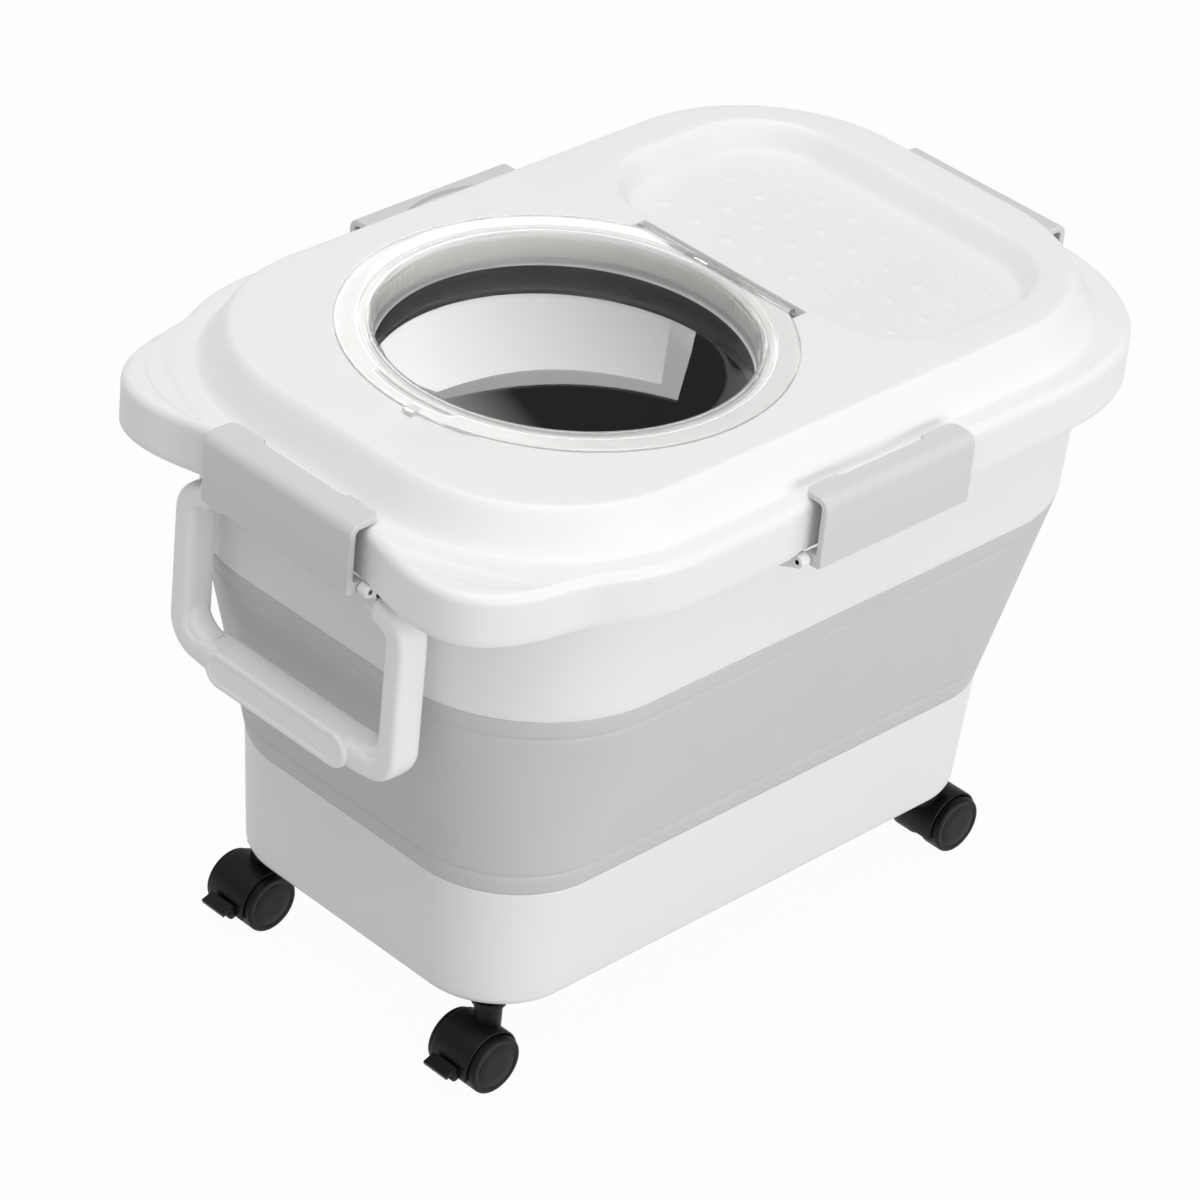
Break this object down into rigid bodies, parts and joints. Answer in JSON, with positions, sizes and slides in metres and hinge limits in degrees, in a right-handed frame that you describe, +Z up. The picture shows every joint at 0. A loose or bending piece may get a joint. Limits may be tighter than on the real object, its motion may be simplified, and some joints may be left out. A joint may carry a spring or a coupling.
{
  "type": "rice bin with flip lid",
  "caption": "Collapsible rectangular rice bin on swivel casters: tub, folding band, collar with bail handle, and a latched lid with a clear flip cover and a tray.",
  "frame": {"origin": "on the floor under the centre of the bin's footprint", "axes": "+Z up, -Y towards the front with the carry handle, +X to the right of someone who faces +Y"},
  "size_m": [0.327, 0.482, 0.345],
  "materials": {
    "white_pp": "satin moulded polypropylene, white",
    "grey_pp": "satin moulded polypropylene, light grey",
    "grey_tpe": "soft matt thermoplastic elastomer, light grey",
    "silicone": "soft translucent white silicone",
    "clear_cover": "clear glossy moulded polystyrene",
    "steel_pin": "bright drawn wire",
    "black_nylon": "black moulded nylon",
    "black_wheel": "black moulded nylon wheel, slightly glossy disc"
  },
  "bodies": {
    "base": {"tub": "white_pp", "fold_band": "grey_tpe", "caster_stem_fl": "black_nylon", "caster_stem_fr": "black_nylon", "caster_stem_rl": "black_nylon", "caster_stem_rr": "black_nylon"},
    "collar_body": {"collar": "white_pp", "latch_pin_front": "steel_pin", "latch_pin_rear": "steel_pin", "latch_pin_left": "steel_pin", "latch_pin_right": "steel_pin", "handle_pins": "steel_pin"},
    "lid_body": {"main_lid": "white_pp", "lid_seal": "silicone", "flip_hinge_pin": "steel_pin"},
    "flip_cover_body": {"flip_cover": "clear_cover", "flip_cover_seal": "silicone"},
    "latch_front_body": {"latch_front": "grey_pp"},
    "latch_rear_body": {"latch_rear": "grey_pp"},
    "latch_left_body": {"latch_left": "grey_pp"},
    "latch_right_body": {"latch_right": "grey_pp"},
    "handle_body": {"carry_handle": "white_pp"},
    "caster_fl": {"caster_hood_fl": "black_nylon", "axle_fl": "steel_pin"},
    "wheel_body_fl_left": {"wheel_fl_left": "black_wheel"},
    "wheel_body_fl_right": {"wheel_fl_right": "black_wheel"},
    "caster_fr": {"caster_hood_fr": "black_nylon", "axle_fr": "steel_pin"},
    "wheel_body_fr_left": {"wheel_fr_left": "black_wheel"},
    "wheel_body_fr_right": {"wheel_fr_right": "black_wheel"},
    "caster_rl": {"caster_hood_rl": "black_nylon", "axle_rl": "steel_pin"},
    "wheel_body_rl_left": {"wheel_rl_left": "black_wheel"},
    "wheel_body_rl_right": {"wheel_rl_right": "black_wheel"},
    "caster_rr": {"caster_hood_rr": "black_nylon", "axle_rr": "steel_pin"},
    "wheel_body_rr_left": {"wheel_rr_left": "black_wheel"},
    "wheel_body_rr_right": {"wheel_rr_right": "black_wheel"},
    "brake_fl": {"brake_lever_fl": "black_nylon"},
    "brake_fr": {"brake_lever_fr": "black_nylon"}
  },
  "joints": [
    {"name": "collapse", "type": "slide", "parent": "base", "child": "collar_body", "axis": [0, 0, 1], "range_m": [-0.165, 0], "deforming": ["fold_band"]},
    {"name": "lid_lift", "type": "slide", "parent": "collar_body", "child": "lid_body", "axis": [0, 0, 1], "range_m": [0, 0.019]},
    {"name": "latch_front_hinge", "type": "hinge", "parent": "collar_body", "child": "latch_front_body", "pos_m": [0, -0.2325, 0.2925], "axis": [1, 0, 0], "range_deg": [0, 120]},
    {"name": "latch_rear_hinge", "type": "hinge", "parent": "collar_body", "child": "latch_rear_body", "pos_m": [0, 0.2325, 0.2925], "axis": [-1, 0, 0], "range_deg": [0, 120]},
    {"name": "latch_left_hinge", "type": "hinge", "parent": "collar_body", "child": "latch_left_body", "pos_m": [-0.155, 0, 0.2925], "axis": [0, -1, 0], "range_deg": [0, 120]},
    {"name": "latch_right_hinge", "type": "hinge", "parent": "collar_body", "child": "latch_right_body", "pos_m": [0.155, 0, 0.2925], "axis": [0, 1, 0], "range_deg": [0, 120]},
    {"name": "flip_cover_hinge", "type": "hinge", "parent": "lid_body", "child": "flip_cover_body", "pos_m": [0, 0.0404, 0.3414], "axis": [-1, 0, 0], "range_deg": [0, 105]},
    {"name": "handle_hinge", "type": "hinge", "parent": "collar_body", "child": "handle_body", "pos_m": [0, -0.223, 0.282], "axis": [-1, 0, 0], "range_deg": [0, 100]},
    {"name": "swivel_fl", "type": "hinge", "parent": "base", "child": "caster_fl", "pos_m": [-0.082, -0.157, 0.03], "axis": [0, 0, 1], "continuous": true},
    {"name": "spin_fl_left", "type": "hinge", "parent": "caster_fl", "child": "wheel_body_fl_left", "pos_m": [-0.082, -0.1645, 0.0155], "axis": [1, 0, 0], "continuous": true},
    {"name": "spin_fl_right", "type": "hinge", "parent": "caster_fl", "child": "wheel_body_fl_right", "pos_m": [-0.082, -0.1645, 0.0155], "axis": [1, 0, 0], "continuous": true},
    {"name": "swivel_fr", "type": "hinge", "parent": "base", "child": "caster_fr", "pos_m": [0.082, -0.157, 0.03], "axis": [0, 0, 1], "continuous": true},
    {"name": "spin_fr_left", "type": "hinge", "parent": "caster_fr", "child": "wheel_body_fr_left", "pos_m": [0.082, -0.1645, 0.0155], "axis": [1, 0, 0], "continuous": true},
    {"name": "spin_fr_right", "type": "hinge", "parent": "caster_fr", "child": "wheel_body_fr_right", "pos_m": [0.082, -0.1645, 0.0155], "axis": [1, 0, 0], "continuous": true},
    {"name": "swivel_rl", "type": "hinge", "parent": "base", "child": "caster_rl", "pos_m": [-0.082, 0.157, 0.03], "axis": [0, 0, 1], "continuous": true},
    {"name": "spin_rl_left", "type": "hinge", "parent": "caster_rl", "child": "wheel_body_rl_left", "pos_m": [-0.082, 0.1645, 0.0155], "axis": [1, 0, 0], "continuous": true},
    {"name": "spin_rl_right", "type": "hinge", "parent": "caster_rl", "child": "wheel_body_rl_right", "pos_m": [-0.082, 0.1645, 0.0155], "axis": [1, 0, 0], "continuous": true},
    {"name": "swivel_rr", "type": "hinge", "parent": "base", "child": "caster_rr", "pos_m": [0.082, 0.157, 0.03], "axis": [0, 0, 1], "continuous": true},
    {"name": "spin_rr_left", "type": "hinge", "parent": "caster_rr", "child": "wheel_body_rr_left", "pos_m": [0.082, 0.1645, 0.0155], "axis": [1, 0, 0], "continuous": true},
    {"name": "spin_rr_right", "type": "hinge", "parent": "caster_rr", "child": "wheel_body_rr_right", "pos_m": [0.082, 0.1645, 0.0155], "axis": [1, 0, 0], "continuous": true},
    {"name": "brake_fl_hinge", "type": "hinge", "parent": "caster_fl", "child": "brake_fl", "pos_m": [-0.082, -0.18313, 0.013], "axis": [1, 0, 0], "range_deg": [0, 20]},
    {"name": "brake_fr_hinge", "type": "hinge", "parent": "caster_fr", "child": "brake_fr", "pos_m": [0.082, -0.18313, 0.013], "axis": [1, 0, 0], "range_deg": [0, 20]}
  ],
  "couplings": [
    {"joint": "latch_front_hinge", "follows": "lid_lift", "rad_per_m": 110},
    {"joint": "latch_rear_hinge", "follows": "lid_lift", "rad_per_m": 110},
    {"joint": "latch_left_hinge", "follows": "lid_lift", "rad_per_m": 110},
    {"joint": "latch_right_hinge", "follows": "lid_lift", "rad_per_m": 110}
  ]
}
